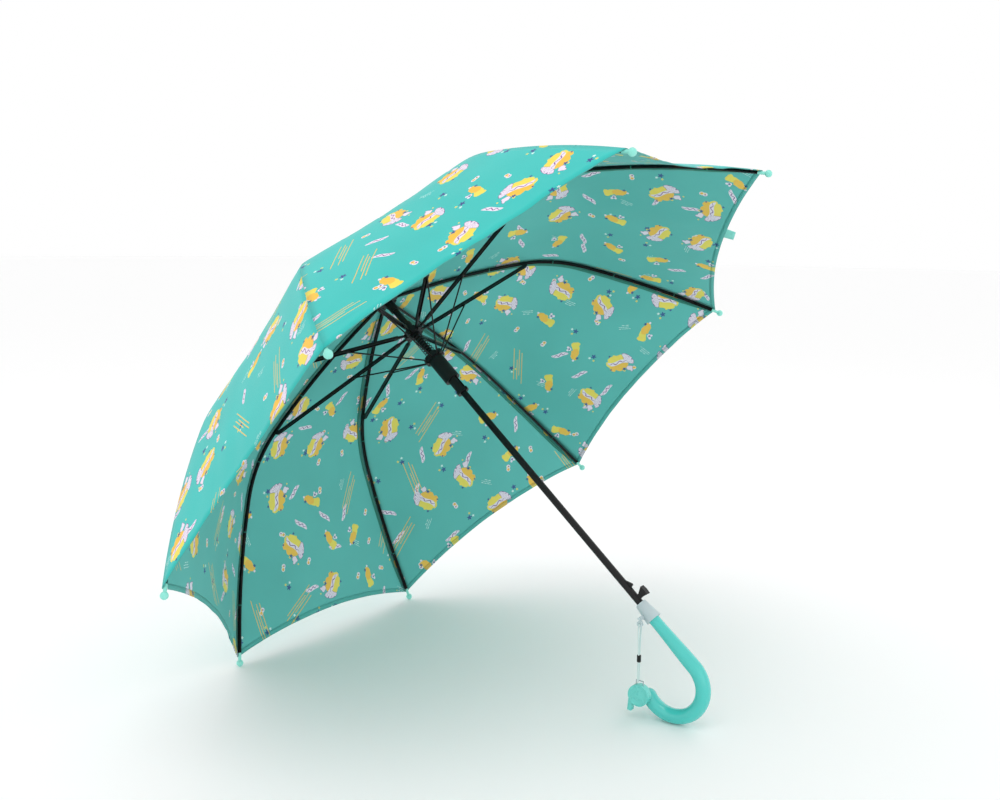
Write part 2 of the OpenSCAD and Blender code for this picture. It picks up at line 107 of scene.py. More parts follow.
# The umbrella's own axes, read from the CAD joints: up the shaft, towards the hook, and across.
UP = Vector(JOINTS["hub_slide"]["axis"]).normalized()
HINGES = [Vector(JOINTS[f"rib_{i}_hinge"]["pos_m"]) for i in range(1, RIBS + 1)]
CROWN = sum(HINGES, Vector()) / RIBS
HOOK_SIDE = (HINGES[0] + HINGES[-1] - 2 * CROWN).normalized()
ACROSS = UP.cross(HOOK_SIDE)
HINGE_RADIUS = (HINGES[0] - CROWN).length


def linear(code):
    """A hex colour as linear red, green, blue and alpha."""
    parts = [int(code[i:i + 2], 16) / 255 for i in (1, 3, 5)]
    return (*(c / 12.92 if c < 0.04045 else ((c + 0.055) / 1.055) ** 2.4 for c in parts), 1.0)


def colour(name, code, about):
    return FloatVectorProperty(name=name, description=about, subtype="COLOR", size=4, min=0, max=1,
                               default=linear(code))


def length(name, value, about):
    return FloatProperty(name=name, description=about, default=value, min=0.0, max=1.0,
                         subtype="DISTANCE", unit="LENGTH", precision=5)


class CanopySizes(bpy.types.PropertyGroup):
    rim_radius: length("Rim radius", 420 * MM, "Circle through the rib tips")
    rise: length("Rise", 214 * MM, "Height of the rib hinges above the rim")
    tip_stem: length("Corner setback", 7 * MM, "From the end of the rib line to a corner of the cloth")
    start: length("Start", 3.2 * MM, "Where the cloth starts under the cap, along the rib")
    hem_bow: length("Hem bow", 20 * MM, "How far the hem bows in between two tips")
    sag: length("Sag", 7 * MM, "How far the hem hangs in below a straight line between the ribs")
    face: length("Outer face", 3.1 * MM, "From the middle of a rib to the outer face of the cloth")
    cloth: length("Cloth", 0.45 * MM, "Thickness of the coated cloth")
    hem_width: length("Hem", 6 * MM, "Width of the turned hem")
    seam_gap: length("Seam gap", 4.6 * MM, "From the middle of a rib to the doubled seam")
    seam_width: length("Seam band", 4.0 * MM, "Width of the doubled seam beside a rib")
    rows: IntProperty(name="Rows", description="Faces along a panel", default=48, min=8, max=120)
    columns: IntProperty(name="Columns", description="Faces across a panel", default=30, min=6, max=80)


class PrintColours(bpy.types.PropertyGroup):
    ground: colour("Ground", "#30C3BC", "The cloth's ground from outside")
    # The inner face's paler ground is partly its own colour and partly painted light that comes through the
    # thin cloth
    inside: colour("Inside", "#5CBAB4", "The cloth's uncoated inner face")
    strap: colour("Strap", "#86DDD2", "The paler, almost plain tie strap")
    # The seam band colour is painted shade: doubled cloth is painted darker for the light it holds back
    band: colour("Seam band", "#137A69", "Doubled cloth, which lets less light through")
    cloud_light: colour("Cloud, light", "#F4E052", "Lighter yellow of the clouds")
    cloud_deep: colour("Cloud, deep", "#F8C43C", "Deeper yellow of the clouds")
    lilac: colour("Lilac", "#EFE3F2", "Ribbons and puffs")
    purple: colour("Purple", "#83408F", "Lines on the ribbons")
    navy: colour("Navy", "#35488E", "Stars")
    white: colour("White", "#DDF5F2", "Dashes and dots")


class FinishColours(bpy.types.PropertyGroup):
    handle: colour("Handle", "#45C9C1", "Gloss turquoise of the grip and hook")
    whistle: colour("Whistle", "#6AD3CA", "Turquoise of the whistle")
    mint: colour("Mint", "#8FE3D5", "Tips, cap and ferrule")
    collar: colour("Collar", "#D3E2E6", "Frosted collar")
    black: colour("Black", "#060608", "Painted shaft and frame")
    cord: colour("Cord", "#D3E9E7", "Lanyard cord")


class HandleSizes(bpy.types.PropertyGroup):
    grip_top: length("Grip top", 12.6 * MM, "Diameter of the grip where it enters the collar")
    tube: length("Tube", 16.4 * MM, "Diameter of the hook's tube")
    bend: length("Bend", 34 * MM, "Radius of the hook's bend")
    grip: length("Grip", 64 * MM, "Length of the straight grip below the collar")
    in_collar: length("In the collar", 17 * MM, "Length of the grip inside the collar")
    turn: FloatProperty(name="Turn", description="Angle of the hook", subtype="ANGLE", unit="ROTATION",
                        default=math.radians(196), min=1, max=4)
    cord: length("Cord", 1.8 * MM, "Diameter of the lanyard's cord")
    whistle: length("Whistle", 24 * MM, "Diameter of the round whistle")
    whistle_depth: length("Whistle depth", 8.6 * MM, "Thickness of the whistle")


# ---- Placing things along the shaft and the ribs

def place(x, y, z):
    """A point from the shaft's axis: x towards the hook, y across, z above the rim."""
    return CROWN + UP * (z - bpy.context.scene.canopy.rise) + HOOK_SIDE * x + ACROSS * y


def to_row():
    """The matrix that lays a piece, drawn about the shaft with its rim at z = 0, down in the row frame."""
    turned = Matrix((HOOK_SIDE, ACROSS, UP)).transposed().to_4x4()
    return Matrix.Translation(place(0, 0, 0)) @ turned


def heights(node):
    """Lowest and highest point of a CAD node along the shaft, above the rim."""
    along = [(v.co - CROWN).dot(UP) for v in NODES[node].data.vertices]
    rise = bpy.context.scene.canopy.rise
    return min(along) + rise, max(along) + rise


class RibLine:
    """The middle of a rib: three arcs, each tangent to the last, as distance from the axis and height."""

    def __init__(self, sizes):
        self.sizes = sizes
        rim, rise = sizes.rim_radius, sizes.rise
        self.knots = [(HINGE_RADIUS, rise), *((x * rim, z * rise) for x, z in ARC_MEETINGS), (rim, 0)]
        self.slopes, self.starts, self.radii = [math.radians(1)], [0.0], []
        for (x0, z0), (x1, z1) in zip(self.knots, self.knots[1:]):
            self.slopes.append(2 * math.atan2(z0 - z1, x1 - x0) - self.slopes[-1])
            turn = self.slopes[-1] - self.slopes[-2]
            self.radii.append(math.hypot(x1 - x0, z1 - z0) / (2 * math.sin(turn / 2)))
            self.starts.append(self.starts[-1] + self.radii[-1] * turn)
        self.length = self.starts[-1]

    def at(self, s, out=0.0):
        """Distance from the axis, height and slope at s, moved out along the normal."""
        k = max(i for i in range(3) if i == 0 or s >= self.starts[i])
        slope = self.slopes[k] + (s - self.starts[k]) / self.radii[k]
        x, z = self.knots[k]
        x += self.radii[k] * (math.sin(slope) - math.sin(self.slopes[k]))
        z += self.radii[k] * (math.cos(slope) - math.cos(self.slopes[k]))
        return x + out * math.sin(slope), z + out * math.cos(slope), slope


def about_axis(azimuth, x, y, z):
    """A point drawn with x outwards at this azimuth, as a point about the shaft."""
    c, s = math.cos(azimuth), math.sin(azimuth)
    return place(x * c - y * s, x * s + y * c, z)


# ---- Objects, modifiers and edit mode

def mode(kind):
    bpy.ops.object.mode_set(mode=kind)


def deselect():
    if bpy.context.object and bpy.context.object.mode != "OBJECT":
        mode("OBJECT")
    bpy.ops.object.select_all(action="DESELECT")


def only(obj):
    deselect()
    obj.select_set(True)
    bpy.context.view_layer.objects.active = obj
    return obj


def from_mesh(name, mesh_builder, *materials):
    """A new object from a bmesh that mesh_builder fills."""
    mesh = bpy.data.meshes.new(name)
    bm = bmesh.new()
    mesh_builder(bm)
    bm.to_mesh(mesh)
    bm.free()
    obj = bpy.data.objects.new(name, mesh)
    bpy.context.scene.collection.objects.link(obj)
    return dressed(obj, *materials)


def dressed(obj, *materials):
    obj.data.materials.clear()
    for material in materials:
        obj.data.materials.append(material)
    return obj


def modify(obj, kind, **settings):
    """Adds a modifier with its settings and applies it."""
    only(obj)
    modifier = obj.modifiers.new(kind.title(), kind)
    for key, value in settings.items():
        setattr(modifier, key, value)
    bpy.ops.object.modifier_apply(modifier=modifier.name)


def settle(obj, matrix, name):
    """Puts a drawn piece in its place, with the place in its mesh."""
    obj.data.transform(matrix @ obj.matrix_world)
    obj.matrix_world = Matrix.Identity(4)
    obj.name = name
    obj.data.name = name
    return obj


def smooth(obj, degrees=35):
    only(obj)
    bpy.ops.object.shade_smooth_by_angle(angle=math.radians(degrees))


def join(first, *others):
    only(first)
    for other in others:
        other.select_set(True)
    bpy.ops.object.join()
    return first


def pick(obj, kind, test):
    """Goes to edit mode with only the faces or vertices that pass the test selected."""
    only(obj)
    mode("EDIT")
    bpy.ops.mesh.select_all(action="DESELECT")
    mode("OBJECT")
    for element in obj.data.polygons if kind == "FACE" else obj.data.vertices:
        element.select = test(element)
    mode("EDIT")
    bpy.ops.mesh.select_mode(type=kind)


def mend(holes=0):
    """Merges the doubles of the mesh in edit mode, closes its holes, and turns its faces outwards."""
    bpy.ops.mesh.select_all(action="SELECT")
    bpy.ops.mesh.remove_doubles(threshold=1e-6)
    if holes:
        bpy.ops.mesh.fill_holes(sides=holes)
    bpy.ops.mesh.normals_make_consistent(inside=False)
    mode("OBJECT")


# ---- Materials

MATH, VECTOR, MIX = "ShaderNodeMath", "ShaderNodeVectorMath", "ShaderNodeMix"
NOISE, RANGE, BUMP = "ShaderNodeTexNoise", "ShaderNodeMapRange", "ShaderNodeBump"
PARTS, TONE = "ShaderNodeSeparateXYZ", "ShaderNodeHueSaturation"


def add(tree, kind, *values, links=None, **settings):
    """Adds a node with its settings. Each input is a value, a socket, or a node for its first output."""
    node = tree.nodes.new(kind)
    for key, value in settings.items():
        setattr(node, key, value)
    for slot, value in [*enumerate(values), *(links or {}).items()]:
        if value is None:
            continue
        if isinstance(value, bpy.types.Node):
            value = value.outputs[0]
        if isinstance(value, bpy.types.NodeSocket):
            tree.links.new(value, node.inputs[slot])
        else:
            node.inputs[slot].default_value = value
    return node


def new_material(name, base, **inputs):
    """A material with its Principled shader; inputs are the shader's own sockets, with _ for a space."""
    material = bpy.data.materials.new(name)
    material.use_nodes = True
    shader = material.node_tree.nodes["Principled BSDF"]
    base = tuple(base)
    shader.inputs["Base Color"].default_value = base
    material.diffuse_color = base
    for key, value in inputs.items():
        shader.inputs[key.replace("_", " ")].default_value = value
    return material, material.node_tree, shader


def roughened(tree, shader, low, high, grain_mm, bump_mm, stretch=(1, 1, 1)):
    """Varies roughness between two values, and bumps the surface, with a grain of a real size."""
    where = add(tree, "ShaderNodeTexCoord").outputs["Object"]
    spread = add(tree, "ShaderNodeMapping", where, links={"Scale": stretch})
    grain = add(tree, NOISE, spread, links={"Scale": 1 / (grain_mm * MM), "Detail": 4.0})
    rough = add(tree, RANGE, grain, 0.3, 0.7, low, high)
    tree.links.new(rough.outputs[0], shader.inputs["Roughness"])
    bump = add(tree, BUMP, links={"Height": grain, "Strength": 0.35, "Distance": bump_mm * MM})
    tree.links.new(bump.outputs[0], shader.inputs["Normal"])


def blob(tree, at, spots, soft=2.5, edge=None):
    """How far a point is outside a blob made of round spots, given as x, y and radius in millimetres."""
    far = None
    for x, y, r in spots:
        one = add(tree, VECTOR, at, (x, y, 0), operation="DISTANCE").outputs["Value"]
        one = add(tree, MATH, one, r, operation="SUBTRACT")
        far = one if far is None else add(tree, MATH, far, one, soft, operation="SMOOTH_MIN")
    return far if edge is None else add(tree, MATH, far, edge, operation="ADD")


def star(tree, at, x, y, size):
    """A five-pointed star of this size about x, y."""
    near = add(tree, VECTOR, at, (x, y, 0), operation="SUBTRACT")
    parts = add(tree, PARTS, near)
    angle = add(tree, MATH, parts.outputs[1], parts.outputs[0], operation="ARCTAN2")
    turned = add(tree, MATH, angle, 7.0, operation="ADD")
    fold = add(tree, MATH, turned, math.pi / 5, operation="PINGPONG")
    edge = add(tree, MATH, fold, -0.62 * size / (math.pi / 5), size, operation="MULTIPLY_ADD")
    away = add(tree, VECTOR, near, operation="LENGTH").outputs["Value"]
    return add(tree, MATH, away, edge, operation="LESS_THAN")


def ribbon(tree, at, half_length, swing, width, wavelength):
    """(band, line): a bent band along x, pointed at both ends, and the quick wave drawn along its middle."""
    parts = add(tree, PARTS, at)
    x, y = parts.outputs[0], parts.outputs[1]
    bend = add(tree, MATH, x, 2.6 / half_length, operation="MULTIPLY")
    bend = add(tree, MATH, bend, operation="SINE")
    middle = add(tree, MATH, bend, -swing, y, operation="MULTIPLY_ADD")
    share = add(tree, "ShaderNodeCombineXYZ", x, middle)
    share = add(tree, VECTOR, share, (1 / half_length, 1 / width, 0), operation="MULTIPLY")
    far = add(tree, VECTOR, share, operation="LENGTH").outputs["Value"]
    band = add(tree, MATH, far, 1.0, operation="LESS_THAN")
    wave = add(tree, MATH, x, 2 * math.pi / wavelength, operation="MULTIPLY")
    wave = add(tree, MATH, wave, operation="SINE")
    wave = add(tree, MATH, wave, -0.5 * width, middle, operation="MULTIPLY_ADD")
    line = add(tree, MATH, wave, operation="ABSOLUTE")
    # The line thins out towards the band's ends.
    thick = add(tree, MATH, far, -0.3 * width, 0.34 * width, operation="MULTIPLY_ADD")
    return band, add(tree, MATH, line, thick, operation="LESS_THAN")


def streaks(tree, at, rows, half_length, thin):
    """Thin parallel lines along x, at the given heights, each a little shorter or longer."""
    nearest = None
    for row, (height, shift) in enumerate(rows):
        apart = add(tree, VECTOR, at, (shift, height, 0), operation="SUBTRACT")
        apart = add(tree, VECTOR, apart, operation="ABSOLUTE")
        long = half_length * (1 - 0.18 * (row % 3))
        share = add(tree, VECTOR, apart, (1 / long, 1 / thin, 0), operation="MULTIPLY")
        parts = add(tree, PARTS, share)
        far = add(tree, MATH, parts.outputs[0], parts.outputs[1], operation="MAXIMUM")
        nearest = far if nearest is None else add(tree, MATH, nearest, far, operation="MINIMUM")
    return add(tree, MATH, nearest, 1.0, operation="LESS_THAN")


def scattered(tree, uv, spacing, shuffle, offset):
    """(place in millimetres from the middle of the nearest motif, turned at random; three random numbers)."""
    scale = 1 / (spacing * MM)
    cells = add(tree, VECTOR, uv, (scale, scale, 1), (*offset, 0), operation="MULTIPLY_ADD")
    motif = add(tree, "ShaderNodeTexVoronoi", cells, voronoi_dimensions="2D", feature="F1",
                links={"Scale": 1.0, "Randomness": shuffle})
    apart = add(tree, VECTOR, cells, motif.outputs["Position"], operation="SUBTRACT")
    apart = add(tree, VECTOR, apart, (spacing, spacing, 0), operation="MULTIPLY")
    chance = add(tree, "ShaderNodeSeparateColor", motif.outputs["Color"])
    turn = add(tree, MATH, chance.outputs[0], 2 * math.pi, operation="MULTIPLY")
    at = add(tree, "ShaderNodeVectorRotate", apart, links={"Angle": turn}, rotation_type="Z_AXIS")
    return at, chance


def print_group(colours):
    """The print, as a node group: cloth coordinates in metres and the ground in, the printed colour out."""
    tree = bpy.data.node_groups.new("Cloud and star print", "ShaderNodeTree")
    for name, way, kind in (("Cloth", "INPUT", "Vector"), ("Ground", "INPUT", "Color"),
                            ("Colour", "OUTPUT", "Color")):
        tree.interface.new_socket(name, in_out=way, socket_type=f"NodeSocket{kind}")
    entry = add(tree, "NodeGroupInput")
    uv, painted = entry.outputs[0], entry.outputs[1]

    def share_out(chance, **shares):
        """One mask for each kind of motif, by a random number of the motif."""
        low, masks = 0, {}
        for name, share in shares.items():
            masks[name] = add(tree, MATH, chance.outputs[1], low + share / 2, share / 2, operation="COMPARE")
            low += share
        return masks

    def paint(ink, *masks):
        """Lays an ink where every mask lets it. A pair of a distance and a reach is a mask too."""
        nonlocal painted
        area = None
        for mask in masks:
            if isinstance(mask, tuple):
                mask = add(tree, MATH, *mask, operation="LESS_THAN")
            area = mask if area is None else add(tree, MATH, area, mask, operation="MULTIPLY")
        painted = add(tree, MIX, area, links={6: painted, 7: tuple(ink)}, data_type="RGBA").outputs[2]

    at, chance = scattered(tree, uv, SMALL_MOTIFS, 0.5, (0.31, 0.77))
    kind = share_out(chance, stars=0.3, ribbons=0.3, dashes=0.12, sweets=0.28)
    paint(colours.navy, kind["stars"], star(tree, at, 0, 0, 4.2))
    paint(colours.cloud_light, kind["stars"], star(tree, at, 5.8, 3.0, 2.0))
    paint(colours.white, kind["stars"], star(tree, at, 4.8, -4.2, 2.2))
    band, line = ribbon(tree, at, 12.5, 1.6, 3.1, 7.2)
    paint(colours.lilac, kind["ribbons"], band)
    paint(colours.purple, kind["ribbons"], line)
    dashes = streaks(tree, at, [(2.6, 0.0), (0.0, 1.5), (-2.6, -0.5)], 8.5, 0.4)
    broken = add(tree, NOISE, at, links={"Scale": 0.9, "Detail": 1.0})
    gaps = add(tree, MATH, broken, 0.47, operation="GREATER_THAN")
    paint(colours.white, kind["dashes"], dashes, gaps)
    sweet = blob(tree, at, [(-2.2, 0, 2.2), (1.9, 1.0, 2.3)], 1.0)
    paint(colours.lilac, kind["sweets"], (sweet, 0.8))
    paint(colours.cloud_deep, kind["sweets"], (blob(tree, at, [(-2.2, 0, 2.0)]), 0.0))
    paint(colours.cloud_light, kind["sweets"], (blob(tree, at, [(1.2, 1.8, 1.1)]), 0.0))
    paint(colours.purple, kind["sweets"], (blob(tree, at, [(2.4, 0.4, 1.0), (-3.0, -0.5, 0.5)]), 0.0))

    at, chance = scattered(tree, uv, BIG_MOTIFS, 0.42, (0.13, 0.41))
    kind = share_out(chance, big=0.44, small=0.4, lines=0.16)
    ragged = add(tree, NOISE, at, links={"Scale": 0.13, "Detail": 1.0})
    edge = add(tree, MATH, ragged, 7.0, -3.5, operation="MULTIPLY_ADD")
    # A big cloud in two yellows, with a ribbon across it, a star, and puffs at one side
    light = blob(tree, at, [(-3, -6, 7), (6, -3, 8), (10, 2, 6)], edge=edge)
    deep = blob(tree, at, [(-9, 2, 6.5), (-2, 6, 7), (5, 9, 5)], edge=edge)
    paint(colours.cloud_light, kind["big"], (light, 0.0))
    paint(colours.cloud_deep, kind["big"], (deep, 0.0))
    puff = blob(tree, at, [(-13, -8, 5.0), (-19, -3, 3.4), (-9, -13, 3.0)], 2.6, edge)
    crest = blob(tree, at, [(-17, 7, 4.0), (-21, 11, 2.2)], 1.6, edge)
    for shape in (puff, crest):
        paint(colours.purple, kind["big"], (shape, 0.5))
        paint(colours.lilac, kind["big"], (shape, 0.0))
    curls = add(tree, NOISE, at, links={"Scale": 0.42, "Detail": 0.0})
    paint(colours.purple, kind["big"], add(tree, MATH, curls, 0.5, 0.022, operation="COMPARE"), (puff, -0.6))
    paint(colours.cloud_light, kind["big"], (blob(tree, at, [(-10.5, 12, 1.6), (-26, 6, 1.1)]), 0.0))
    band, line = ribbon(tree, at, 15, 3.4, 3.2, 9.5)
    paint(colours.lilac, kind["big"], band)
    paint(colours.purple, kind["big"], line)
    for x, y, size in ((-10, 9.5, 3.0), (12.5, -9.5, 2.2), (9, 12, 1.8)):
        paint(colours.navy, kind["big"], star(tree, at, x, y, size))
    # A small cloud: a paler and a deeper blot that run into each other, a star, and a splash with a star
    light = blob(tree, at, [(-8, 3.5, 5.6), (-1, 1.5, 5.2)], edge=edge)
    deep = blob(tree, at, [(3, -1.5, 5.8), (9, -4.5, 5.4)], edge=edge)
    paint(colours.cloud_light, kind["small"], (light, 0.0))
    paint(colours.cloud_deep, kind["small"], (deep, 0.0))
    paint(colours.navy, kind["small"], star(tree, at, 13, -1.5, 2.6))
    splash = blob(tree, at, [(-5, -7, 2.6), (-8.5, -8, 1.8), (-4.5, -10.5, 1.5), (14.5, -8, 1.6)], 0.8)
    paint(colours.lilac, kind["small"], (splash, 0.0))
    paint(colours.navy, kind["small"], star(tree, at, -5.4, -7.4, 2.0))
    lines = streaks(tree, at, [(7, 6), (3.2, -4), (0.2, 8), (-4.5, -2)], 27, 0.45)
    paint(colours.cloud_deep, kind["lines"], lines)

    tree.links.new(painted, add(tree, "NodeGroupOutput").inputs[0])
    return tree


def cloth_material(name, group, ground, fade, seam_shading, colours, sheen, rough):
    """Plain-woven polyester, printed. Its threads are 0.1 mm apart, drawn coarser so that they show."""
    material, tree, shader = new_material(name, ground, Sheen_Weight=sheen, Sheen_Roughness=0.4,
                                          IOR=1.5, Specular_IOR_Level=0.3)
    uv = add(tree, "ShaderNodeUVMap", uv_map="Cloth").outputs[0]
    printed = add(tree, "ShaderNodeGroup", uv, tuple(ground), node_tree=group)
    faded = add(tree, MIX, fade, links={6: printed.outputs[0], 7: tuple(ground)}, data_type="RGBA").outputs[2]
    # The seam and the hem are doubled and let less light through, so their colour is painted darker: painted
    # shade.
    seam, hem = (add(tree, "ShaderNodeAttribute", attribute_name=name,
                     attribute_type="GEOMETRY").outputs["Fac"] for name in ("seam_mm", "hem_mm"))
    edge = add(tree, MATH, seam, hem, operation="MINIMUM")
    doubled = add(tree, RANGE, edge, 4.0, 7.0, seam_shading, 0.0)
    seam_shaded = add(tree, MIX, doubled, links={6: faded, 7: tuple(colours.band)}, data_type="RGBA").outputs[2]
    # Slow changes of tone, as thin cloth has where light comes through it unevenly.
    blotch = add(tree, NOISE, uv, links={"Scale": 9.0, "Detail": 3.0})
    tone = add(tree, RANGE, blotch, 0.3, 0.7, 0.95, 1.04)
    toned = add(tree, TONE, links={"Value": tone, "Color": seam_shaded})
    tree.links.new(toned.outputs[0], shader.inputs["Base Color"])
    # Warp and weft
    across = 1 / (THREADS_DRAWN * MM)
    threads = add(tree, VECTOR, uv, (across, across, 1), operation="MULTIPLY")
    weave = add(tree, "ShaderNodeTexChecker", threads, links={"Scale": 1.0})
    grain = add(tree, NOISE, uv, links={"Scale": 900.0, "Detail": 2.0})
    cloth = add(tree, MATH, weave.outputs["Fac"], 0.35, grain, operation="MULTIPLY_ADD")
    # Stitches run along the hem and beside the seams.
    parts = add(tree, PARTS, uv)
    along = add(tree, MATH, parts.outputs[0], parts.outputs[1], operation="ADD")
    count = add(tree, MATH, along, 1 / (STITCH * MM), operation="MULTIPLY")
    beat = add(tree, MATH, count, operation="FRACT")
    on = add(tree, MATH, beat, 0.68, operation="LESS_THAN")
    row = add(tree, MATH, edge, 4.8, 0.4, operation="COMPARE")
    stitch = add(tree, MATH, on, row, operation="MULTIPLY")
    height = add(tree, MATH, stitch, 3.0, cloth, operation="MULTIPLY_ADD")
    bump = add(tree, BUMP, links={"Height": height, "Strength": 0.25, "Distance": 0.12 * MM})
    tree.links.new(bump.outputs[0], shader.inputs["Normal"])
    shade = add(tree, RANGE, grain, 0.3, 0.7, rough - 0.06, rough + 0.06)
    tree.links.new(shade.outputs[0], shader.inputs["Roughness"])
    return material


MATERIALS = {}


def finish(key, name, base, grain, **inputs):
    """Files a new material under a short key, with its surface roughened by the grain's values."""
    MATERIALS[key], tree, shader = new_material(name, base, **inputs)
    roughened(tree, shader, *grain)


def make_materials(context):
    colours, finishes = context.scene.print_colours, context.scene.finishes
    group = print_group(colours)
    # Water-repellent polyester: slight sheen outside, duller inside, where the print only shows through and
    # the paler ground is partly painted light that comes through the cloth, and almost plain on the strap
    for key, name, ground, fade, seam_shading, sheen, rough in (
            ("outside", "Printed polyester, outer face", colours.ground, 0.0, 0.06, 0.02, 0.48),
            ("inside", "Printed polyester, inner face", colours.inside, 0.12, 0.25, 0.08, 0.6),
            ("strap", "Polyester strap", colours.strap, 0.8, 0.06, 0.05, 0.5)):
        MATERIALS[key] = cloth_material(name, group, ground, fade, seam_shading, colours, sheen, rough)
    # Cloth folded on itself: matt, and darker, since less light comes through it; the darker colour is
    # painted shade
    finish("band", "Doubled polyester seam, painted shade", colours.band, (0.5, 0.7, 0.8, 0.1), Sheen_Weight=0.15)
    # Stove enamel on drawn steel: a hard gloss with a faint orange peel
    finish("enamel", "Black enamelled steel", finishes.black, (0.26, 0.42, 1.6, 0.02), Metallic=0.0,
           Coat_Weight=0.12, Coat_Roughness=0.12, Specular_IOR_Level=0.3)
    # Moulded nylon: satin, with a fine spark-eroded grain
    finish("nylon", "Black moulded nylon", linear("#0A0A0C"), (0.38, 0.55, 0.7, 0.04), IOR=1.53,
           Specular_IOR_Level=0.35)
    # Drawn spring steel, oiled: a dark metal with a soft shine
    finish("spring", "Blackened spring steel", linear("#3A3B3E"), (0.25, 0.4, 0.6, 0.01), Metallic=1.0)
    # Drawn and bare: bright, with its grain along the wire
    finish("bright", "Bright steel wire", linear("#B9BDC2"), (0.18, 0.32, 0.5, 0.01, (1, 1, 0.1)),
           Metallic=1.0)
    # Injection-moulded ABS: deep gloss with soft flow marks along the tube
    finish("abs", "Gloss turquoise ABS", finishes.handle, (0.14, 0.26, 6.0, 0.02), IOR=1.54,
           Coat_Weight=0.5, Coat_Roughness=0.05, Subsurface_Weight=0.08,
           Subsurface_Radius=(0.004, 0.006, 0.006))
    # Moulded polystyrene: hard and clear in colour, a little less glossy than the hook
    finish("whistle", "Turquoise polystyrene", finishes.whistle, (0.24, 0.32, 5.0, 0.01), IOR=1.59)
    # Soft milky polyethylene of the tips
    finish("mint", "Mint polyethylene", finishes.mint, (0.3, 0.45, 1.2, 0.02), IOR=1.51,
           Subsurface_Weight=0.25, Subsurface_Radius=(0.002, 0.003, 0.003))
    # Frosted polypropylene: light passes, but it scatters
    finish("frosted", "Frosted polypropylene", finishes.collar, (0.3, 0.45, 0.9, 0.03), IOR=1.49,
           Transmission_Weight=0.25)
    # Braided nylon cord: pale, with its plaits about a millimetre apart
    cord = tuple(finishes.cord)
    MATERIALS["cord"], tree, shader = new_material("Braided nylon cord", cord, Sheen_Weight=0.3,
                                                   Roughness=0.55)
    where = add(tree, "ShaderNodeTexCoord").outputs["Object"]
    plait = add(tree, "ShaderNodeTexWave", where, links={"Scale": 260.0, "Distortion": 1.5},
                bands_direction="Z")
    # The plaits' grooves are painted darker and their ridges a little lighter, following the bump: painted
    # shade and painted highlight
    tone = add(tree, RANGE, plait, 0.0, 1.0, 0.82, 1.05)
    toned = add(tree, TONE, links={"Value": tone, "Color": cord})
    tree.links.new(toned.outputs[0], shader.inputs["Base Color"])
    bump = add(tree, BUMP, links={"Height": plait, "Strength": 0.6, "Distance": 0.15 * MM})
    tree.links.new(bump.outputs[0], shader.inputs["Normal"])


class FinishOperator(bpy.types.Operator):
    """Makes the finishes and gives the CAD pieces that stay theirs"""
    bl_idname = "umbrella.finishes"
    bl_label = "Frame and finishes"

    def execute(self, context):
        make_materials(context)
        finish_of = {"shaft_tube": "enamel", "ferrule": "mint", "top_cap": "mint", "crown": "nylon",
                     "crown_wire": "bright", "hub": "nylon", "lower_runner": "nylon", "collar": "frosted",
                     "latch_catch": "nylon", "release_button": "nylon", "whistle_ring": "bright"}
        for i in range(1, RIBS + 1):
            finish_of |= {f"rib_{i}": "enamel", f"stretcher_{i}": "enamel", f"strut_{i}": "enamel",
                          f"tip_{i}": "mint"}
        for node, key in finish_of.items():
            dressed(NODES[node], MATERIALS[key])
        return {"FINISHED"}


def gore_point(line, i, s, v, out):
    """A point of panel i: s along the rib line, v from -1 at its first rib to 1 at its second."""
    x, z, slope = line.at(s, out)
    share = s / line.length
    hang = line.sizes.sag * share ** 1.5 * (1 - v * v) ** 2
    half = x * math.sin(HALF_SECTOR)
    away = 1 - abs(v)
    flute = FLUTE * math.sin(5 * v + i) * share ** 6 * (1 - v * v)
    crease = CREASE * share * math.sqrt(max(0, 1 - v * v)) * noise.noise(
        Vector((7 * v * share + 11 * i, 6 * s / line.length, 3 * i)))
    pucker = PUCKER * math.sin(2 * math.pi * s / PUCKER_SPACING) * math.exp(-away / 0.05) * min(1, share * 4)
    lift = flute + crease + pucker * min(1, away * 40) - hang
    return Vector((x * math.cos(HALF_SECTOR) + lift * math.sin(slope), v * half, z + lift * math.cos(slope)))


def hem_at(line, v):
    """Where the hem lies along the rib line, at v across the panel."""
    return line.length - line.sizes.tip_stem - line.sizes.hem_bow * (1 - v * v)


def lay_faces(bm, grid, uv_layer=None, index=0):
    """Smooth faces between the rows of a grid, whose corners are a vertex and its cloth coordinates."""
    for a, b in zip(grid, grid[1:]):
        for c in range(len(a) - 1):
            corners = (a[c], b[c], b[c + 1], a[c + 1])
            face = bm.faces.new([vertex for vertex, _ in corners])
            face.material_index = index
            face.smooth = True
            if uv_layer:
                for loop, (_, cloth) in zip(face.loops, corners):
                    loop[uv_layer].uv = cloth


def mark_edges(obj, seam, hem):
    """Writes how far each point is from the seam and from the hem, in millimetres."""
    for name, values in (("seam_mm", seam), ("hem_mm", hem)):
        attribute = obj.data.attributes.new(name, "FLOAT", "POINT")
        attribute.data.foreach_set("value", list(values))


